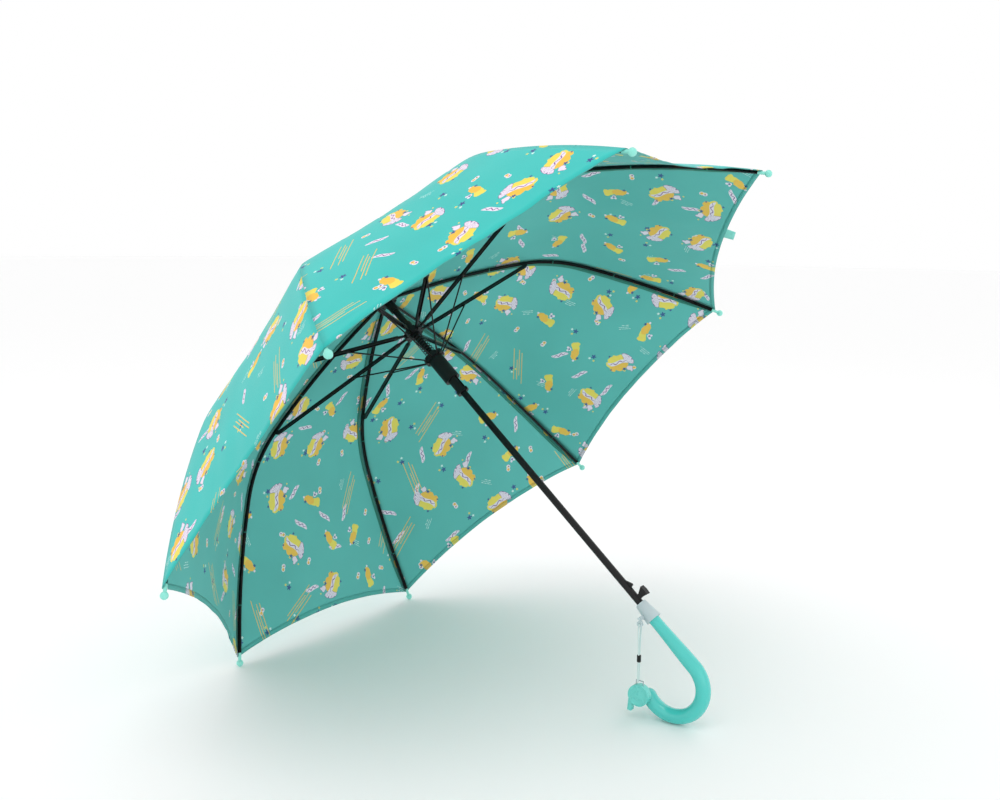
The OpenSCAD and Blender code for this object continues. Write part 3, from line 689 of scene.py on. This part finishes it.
def blend_over(obj, line, i):
    """Bakes a piece of cloth's place into its mesh; the hem corners of panel i are worked out but not used.
    """
    azimuth = 2 * HALF_SECTOR * i
    end = hem_at(line, 1)
    about_axis(azimuth, *gore_point(line, i, end, -1, 0))
    about_axis(azimuth, *gore_point(line, i, end, 1, 0))
    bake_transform(obj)


class CanopyOperator(bpy.types.Operator):
    """Makes the eight printed panels, each with its turned hem"""
    bl_idname = "umbrella.canopy"
    bl_label = "Canopy panels"

    def execute(self, context):
        line = RibLine(context.scene.canopy)
        for i in range(1, RIBS + 1):
            self.gore(line, i)
        return {"FINISHED"}

    def gore(self, line, i):
        sizes = line.sizes
        azimuth = 2 * HALF_SECTOR * i
        columns = sizes.columns
        edges = []

        def strip(bm, uv_layer, first, last, count, out, index):
            """Rows of faces from first to last; a first below 0 is measured from the hem."""
            grid = []
            for r in range(count + 1):
                ring = []
                for c in range(columns + 1):
                    v = 2 * c / columns - 1
                    hem = hem_at(line, v)
                    low = first if first >= 0 else hem + first
                    s = low + (hem - last - low) * r / count
                    p = gore_point(line, i, s, v, out)
                    vertex = bm.verts.new(about_axis(azimuth, *p))
                    half = abs(line.at(s)[0]) * math.sin(HALF_SECTOR)
                    edges.append(((1 - abs(v)) * half / MM, (hem - s) / MM))
                    # Each panel is cut from another part of the printed cloth.
                    ring.append((vertex, (p.y + 0.53 * i, s + 0.29 * i)))
                grid.append(ring)
            lay_faces(bm, grid, uv_layer, index)

        def build(bm):
            uv_layer = bm.loops.layers.uv.new("Cloth")
            strip(bm, uv_layer, sizes.start, 0.0, sizes.rows, sizes.face, 0)
            turned = sizes.face - sizes.cloth - 0.05 * MM
            strip(bm, uv_layer, -sizes.hem_width, 0.1 * MM, 2, turned, 1)

        obj = from_mesh(f"canopy_panel_{i}", build, MATERIALS["outside"], MATERIALS["inside"])
        mark_edges(obj, *zip(*edges))
        outwards = about_axis(azimuth, 1, 0, 0) - place(0, 0, 0) + UP
        if sum(face.normal.dot(outwards) * face.area for face in obj.data.polygons) < 0:
            obj.data.flip_normals()
        modify(obj, "SOLIDIFY", thickness=sizes.cloth, offset=-1, material_offset=1, material_offset_rim=1)
        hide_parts(f"panel_{i}")
        blend_over(obj, line, i)


class SeamOperator(bpy.types.Operator):
    """Makes the doubled seam band beside each rib and the threads that tie the cloth to it"""
    bl_idname = "umbrella.seams"
    bl_label = "Seam bands and thread ties"

    def execute(self, context):
        line = RibLine(context.scene.canopy)
        for i in range(1, RIBS + 1):
            self.band(line, i)
            self.ties(line, i, HALF_SECTOR * (2 * i - 1))
        return {"FINISHED"}

    def band(self, line, i):
        sizes = line.sizes
        count, across = 60, 3
        first, last = 26 * MM, line.length - sizes.tip_stem - 10 * MM
        under = sizes.face - sizes.cloth - 0.35 * MM

        def build(bm):
            grid = []
            for r in range(count + 1):
                s = first + (last - first) * r / count
                fade = min(1, (count - r) / 5, r / 5)
                half = line.at(s)[0] * math.sin(HALF_SECTOR)
                ring = []
                for c in range(across + 1):
                    share = c / across
                    away = sizes.seam_gap + sizes.seam_width * share * (0.35 + 0.65 * fade)
                    flap = (0.5 + 0.2 * math.sin(s / (9 * MM) + i)) * MM * share * fade
                    p = gore_point(line, i, s, away / half - 1, under - flap)
                    ring.append((bm.verts.new(about_axis(2 * HALF_SECTOR * i, *p)), None))
                grid.append(ring)
            lay_faces(bm, grid)

        # The band's darker colour is painted shade for the light that the doubled cloth holds back
        obj = from_mesh(f"seam_band_{i}", build, MATERIALS["band"])
        modify(obj, "SOLIDIFY", thickness=0.4 * MM, offset=0)
        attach(obj, f"rib_{i}")

    def ties(self, line, i, azimuth):
        rings = []
        for share in TIE_PLACES:
            for turn in (-0.35, 0.35):
                s = share * line.length + turn * MM
                x, z, slope = line.at(s, 0.55 * MM)
                deselect()
                bpy.ops.mesh.primitive_torus_add(major_segments=20, minor_segments=6,
                                                 major_radius=TIE_RADIUS, minor_radius=THREAD_RADIUS)
                ring = bpy.context.object
                out = about_axis(azimuth, 1, 0, 0) - place(0, 0, 0)
                along = out * math.cos(slope) - UP * math.sin(slope)
                side = UP.cross(out)
                normal = side.cross(along)
                turned = Matrix((side, -normal, along)).transposed().to_4x4()
                rings.append(settle(ring, Matrix.Translation(about_axis(azimuth, x, 0, z)) @ turned,
                                    f"thread_{i}_{len(rings)}"))
        ties = join(*rings)
        dressed(ties, MATERIALS["band"])
        ties.name = f"thread_ties_{i}"
        smooth(ties, 60)
        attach(ties, f"rib_{i}")


class StrapOperator(bpy.types.Operator):
    """Makes the tie strap that is sewn to one panel"""
    bl_idname = "umbrella.strap"
    bl_label = "Tie strap"

    def execute(self, context):
        line = RibLine(context.scene.canopy)
        i, middle = STRAP_PANEL, STRAP_PLACE
        long, wide, past = 86 * MM, 18 * MM, 12 * MM
        azimuth = 2 * HALF_SECTOR * i
        end = hem_at(line, middle) + past
        rows, across = 26, 6

        def build(bm):
            uv_layer = bm.loops.layers.uv.new("Cloth")
            grid = []
            for r in range(rows + 1):
                s = end - long * (1 - r / rows)
                centre = middle * hem_at(line, middle) / s
                half = line.at(s)[0] * math.sin(HALF_SECTOR)
                narrow = 1 - 0.12 * max(0, r / rows - 0.85) / 0.15
                ring = []
                for c in range(across + 1):
                    share = 2 * c / across - 1
                    puff = 0.22 * MM * math.sin(s / (7 * MM)) * (1 - share * share)
                    p = gore_point(line, i, s, centre + share * narrow * wide / 2 / half,
                                   line.sizes.face + 0.8 * MM + puff)
                    ring.append((bm.verts.new(about_axis(azimuth, *p)), (share * wide / 2 + 3.1, s + 2.7)))
                grid.append(ring)
            lay_faces(bm, grid, uv_layer)

        obj = from_mesh("tie_strap_cloth", build, MATERIALS["strap"])
        far = [20.0] * len(obj.data.vertices)
        mark_edges(obj, far, far)
        modify(obj, "SOLIDIFY", thickness=0.7 * MM, offset=0)
        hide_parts("tie_strap")
        blend_over(obj, line, i)
        return {"FINISHED"}


class SpringOperator(bpy.types.Operator):
    """Makes the opening spring as a fixed coil that rides with the runner"""
    bl_idname = "umbrella.spring"
    bl_label = "Opening spring"

    def execute(self, context):
        low, high = heights("opening_spring")
        turns, wire, coil = 13, 0.6 * MM, 6.3 * MM
        deselect()
        bpy.ops.mesh.primitive_circle_add(vertices=10, radius=wire, location=(coil, 0, 0),
                                          rotation=(math.pi / 2, 0, 0))
        spring = bpy.context.object
        bpy.ops.object.transform_apply()
        pitch = (high - low - 2 * wire) / turns
        modify(spring, "SCREW", angle=2 * math.pi, screw_offset=pitch, iterations=turns, steps=28,
               render_steps=28, axis="Z")
        only(spring)
        mode("EDIT")
        mend(holes=12)
        settle(spring, to_row() @ Matrix.Translation((0, 0, low + wire)), "spring_coil")
        dressed(spring, MATERIALS["spring"])
        smooth(spring, 60)
        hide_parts("opening_spring")
        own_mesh(spring)
        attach(spring, "runner")
        return {"FINISHED"}


class HandleOperator(bpy.types.Operator):
    """Makes the grip and hook as one moulded tube"""
    bl_idname = "umbrella.handle"
    bl_label = "Grip and hook"

    def execute(self, context):
        sizes = context.scene.handle_sizes
        top = heights("handle")[1] - 0.2 * MM
        low = top - sizes.in_collar
        foot = low - sizes.grip
        deselect()
        bpy.ops.mesh.primitive_circle_add(vertices=48, radius=sizes.grip_top / 2, location=(0, 0, top),
                                          fill_type="NGON")
        handle = bpy.context.object
        bpy.ops.object.transform_apply()
        mode("EDIT")
        bpy.ops.mesh.select_all(action="SELECT")
        steps = [(low, 1.0)]
        rings = 10
        for k in range(1, rings + 1):
            share = k / rings
            eased = share * share * (3 - 2 * share)
            steps.append((low + (foot - low) * share, 1 + (sizes.tube / sizes.grip_top - 1) * eased))
        height, wide = top, 1.0
        for z, scale in steps:
            bpy.ops.mesh.extrude_region_move(TRANSFORM_OT_translate={"value": (0, 0, z - height)})
            bpy.ops.transform.resize(value=(scale / wide, scale / wide, 1), center_override=(0, 0, z))
            height, wide = z, scale
        bpy.ops.mesh.delete(type="ONLY_FACE")
        pick(handle, "VERT", lambda vertex: abs(vertex.co.z - foot) < 1e-6)
        centre = Vector((sizes.bend, 0, foot))
        bpy.ops.mesh.spin(steps=56, angle=sizes.turn, center=centre, axis=(0, 1, 0))
        # The rounded end, in rings that close in on its tip
        ahead = Vector((math.sin(sizes.turn), 0, -math.cos(sizes.turn)))
        middle = centre - sizes.bend * Vector((math.cos(sizes.turn), 0, math.sin(sizes.turn)))
        before, last, cap_rings = 0.0, 1.0, 6
        for k in range(1, cap_rings + 1):
            angle = k * math.pi / 2 / (cap_rings + 0.4)
            step = sizes.tube / 2 * (math.sin(angle) - before)
            bpy.ops.mesh.extrude_region_move(TRANSFORM_OT_translate={"value": ahead * step})
            middle = middle + ahead * step
            shrink = math.cos(angle) / last
            bpy.ops.transform.resize(value=(shrink, shrink, shrink), center_override=middle)
            before, last = math.sin(angle), math.cos(angle)
        bpy.ops.mesh.edge_face_add()
        mend()
        settle(handle, to_row(), "hook_handle")
        dressed(handle, MATERIALS["abs"])
        smooth(handle, 50)
        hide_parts("handle")
        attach(handle, "stick")
        return {"FINISHED"}


class LanyardOperator(bpy.types.Operator):
    """Makes the doubled cord with its bead"""
    bl_idname = "umbrella.lanyard"
    bl_label = "Lanyard"

    def execute(self, context):
        thick = context.scene.handle_sizes.cord
        eyelet = Vector(JOINTS["lanyard_swing"]["pos_m"])
        bar = Vector(JOINTS["whistle_swing"]["pos_m"])
        bead_low, bead_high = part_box("lanyard_bead")
        drop = eyelet.z - bar.z
        pinch = 0.55 * thick
        near_bar = 0.5 * MM + thick / 2
        side = [(near_bar * 0.35, -drop - near_bar * 0.94), (near_bar, -drop + 0.2 * MM),
                (pinch, -drop + 5 * MM), (pinch, bead_low.z - eyelet.z), (pinch, bead_high.z - eyelet.z),
                (1.5 * MM, -24 * MM), (2.5 * MM, -11 * MM), (3.1 * MM, -4 * MM), (3.0 * MM, -1.7 * MM),
                (1.9 * MM, -0.25 * MM)]
        outline = [(y, z) for y, z in side] + [(0, 0)] + [(-y, z) for y, z in reversed(side)]
        points = [eyelet + Vector((0, y, z)) for y, z in outline]
        curve = bpy.data.curves.new("lanyard", "CURVE")
        curve.dimensions = "3D"
        curve.bevel_depth = thick / 2
        curve.bevel_resolution = 4
        curve.resolution_u = 8
        curve.use_fill_caps = True
        spline = curve.splines.new("NURBS")
        spline.points.add(len(points) - 1)
        for point, at in zip(spline.points, points):
            point.co = (*at, 1)
        spline.order_u = 4
        spline.use_endpoint_u = True
        cord = bpy.data.objects.new("lanyard_loop", curve)
        context.scene.collection.objects.link(cord)
        cord.data.materials.append(MATERIALS["cord"])
        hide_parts("lanyard_cord")
        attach(cord, "lanyard")

        deselect()
        half = (bead_high.z - bead_low.z) / 2
        wide = (bead_high.x - bead_low.x) / 2 + 0.25 * MM
        bpy.ops.mesh.primitive_cylinder_add(vertices=32, radius=wide, depth=2 * half)
        bead = bpy.context.object
        modify(bead, "BEVEL", width=0.7 * MM, segments=3, limit_method="ANGLE")
        bead.data.transform(Matrix.Translation((bead_low + bead_high) / 2))
        settle(bead, Matrix.Identity(4), "cord_bead")
        dressed(bead, MATERIALS["nylon"])
        smooth(bead, 40)
        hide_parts("lanyard_bead")
        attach(bead, "lanyard")
        return {"FINISHED"}


class WhistleOperator(bpy.types.Operator):
    """Makes the round whistle with its mouthpiece"""
    bl_idname = "umbrella.whistle"
    bl_label = "Whistle"

    def execute(self, context):
        sizes = context.scene.handle_sizes
        low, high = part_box("whistle_body")
        radius, depth = sizes.whistle / 2, sizes.whistle_depth
        bar = Vector(JOINTS["whistle_swing"]["pos_m"])
        centre = Vector((bar.x + 1.8 * MM, (low.y + high.y) / 2, high.z - radius))
        deselect()
        bpy.ops.mesh.primitive_cylinder_add(vertices=56, radius=radius, depth=depth,
                                            rotation=(math.pi / 2, 0, 0))
        disc = bpy.context.object
        bpy.ops.object.transform_apply()
        for sign in (-1, 1):
            pick(disc, "FACE", lambda face: face.normal.y * sign > 0.9)
            # A rim, a step down, a flat, and a raised boss
            for inset, step in ((1.5, 0), (0.3, -0.6), (5.2, 0), (0.3, 0.35)):
                bpy.ops.mesh.inset(thickness=inset * MM, depth=step * MM)
            mode("OBJECT")
        modify(disc, "BEVEL", width=0.35 * MM, segments=2, limit_method="ANGLE", angle_limit=math.radians(28))
        # The mouthpiece: a flat tube whose end is open
        deselect()
        bpy.ops.mesh.primitive_cube_add(size=1)
        mouth = bpy.context.object
        mouth.data.transform(Matrix.Diagonal((5 * MM, depth - 1.8 * MM, 21 * MM, 1)))
        pick(mouth, "FACE", lambda face: face.normal.z < -0.9)
        bpy.ops.mesh.inset(thickness=0.8 * MM)
        bpy.ops.mesh.extrude_region_move(TRANSFORM_OT_translate={"value": (0, 0, 6 * MM)})
        mode("OBJECT")
        modify(mouth, "BEVEL", width=0.5 * MM, segments=3, limit_method="ANGLE", angle_limit=math.radians(50))
        mouth.data.transform(Matrix.Translation((-radius + 2.6 * MM, 0, -8.5 * MM))
                             @ Matrix.Rotation(math.radians(5), 4, "Y"))
        whistle = join(disc, mouth)
        settle(whistle, Matrix.Translation(centre), "round_whistle")
        dressed(whistle, MATERIALS["whistle"])
        smooth(whistle, 30)
        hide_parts("whistle_body")
        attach(whistle, "whistle")
        return {"FINISHED"}


class StageOperator(bpy.types.Operator):
    """Makes the floor, the lights and the camera"""
    bl_idname = "umbrella.stage"
    bl_label = "Stage"

    def execute(self, context):
        scene = context.scene
        scene.view_settings.view_transform = "Standard"
        deselect()
        bpy.ops.mesh.primitive_plane_add(size=60, location=(0, 0, -0.3 * MM))
        floor = bpy.context.object
        floor.name = "floor"
        # Rolled paper: matt, with hardly any grain
        paper, tree, shader = new_material("Matt studio paper", linear("#FDFDFD"), Specular_IOR_Level=0.1)
        roughened(tree, shader, 0.7, 0.85, 40.0, 0.1)
        dressed(floor, paper)
        world = bpy.data.worlds.new("Studio")
        world.use_nodes = True
        sky = world.node_tree.nodes["Background"].inputs
        sky["Color"].default_value = (1, 1, 1, 1)
        sky["Strength"].default_value = 1.0
        scene.world = world
        centre = Vector((0, 0, 0.3))
        for name, at, power, size in LIGHTS:
            bpy.ops.object.light_add(type="AREA", location=at)
            light = bpy.context.object
            light.name = name
            light.data.energy = power
            light.data.size = size
            light.rotation_euler = (Vector(at) - centre).to_track_quat("Z", "Y").to_euler()
        bpy.ops.object.camera_add(location=CAMERA_AT, rotation=[math.radians(a) for a in CAMERA_TURN])
        scene.camera = bpy.context.object
        scene.camera.data.sensor_width = SENSOR
        scene.camera.data.lens = LENS
        return {"FINISHED"}


class UmbrellaPanel(bpy.types.Panel):
    bl_idname = "VIEW3D_PT_umbrella"
    bl_label = "Umbrella"
    bl_space_type = "VIEW_3D"
    bl_region_type = "UI"
    bl_category = "Umbrella"

    def draw(self, context):
        for operator in OPERATORS:
            self.layout.operator(operator.bl_idname)
        for group in GROUPS:
            box = self.layout.box()
            for name in group[1].__annotations__:
                box.prop(getattr(context.scene, group[0]), name)


GROUPS = (("canopy", CanopySizes), ("print_colours", PrintColours), ("finishes", FinishColours),
          ("handle_sizes", HandleSizes))
OPERATORS = (StageOperator, FinishOperator, SeamOperator, CanopyOperator, StrapOperator, SpringOperator,
             HandleOperator, LanyardOperator, WhistleOperator)


def register():
    for name, group in GROUPS:
        bpy.utils.register_class(group)
        setattr(bpy.types.Scene, name, PointerProperty(type=group))
    for item in (*OPERATORS, UmbrellaPanel):
        bpy.utils.register_class(item)


def unregister():
    for item in (UmbrellaPanel, *reversed(OPERATORS)):
        bpy.utils.unregister_class(item)
    for name, group in reversed(GROUPS):
        delattr(bpy.types.Scene, name)
        bpy.utils.unregister_class(group)


def main():
    register()
    for operator in OPERATORS:
        family, name = operator.bl_idname.split(".")
        getattr(getattr(bpy.ops, family), name)()
    deselect()


if __name__ == "__main__":
    main()
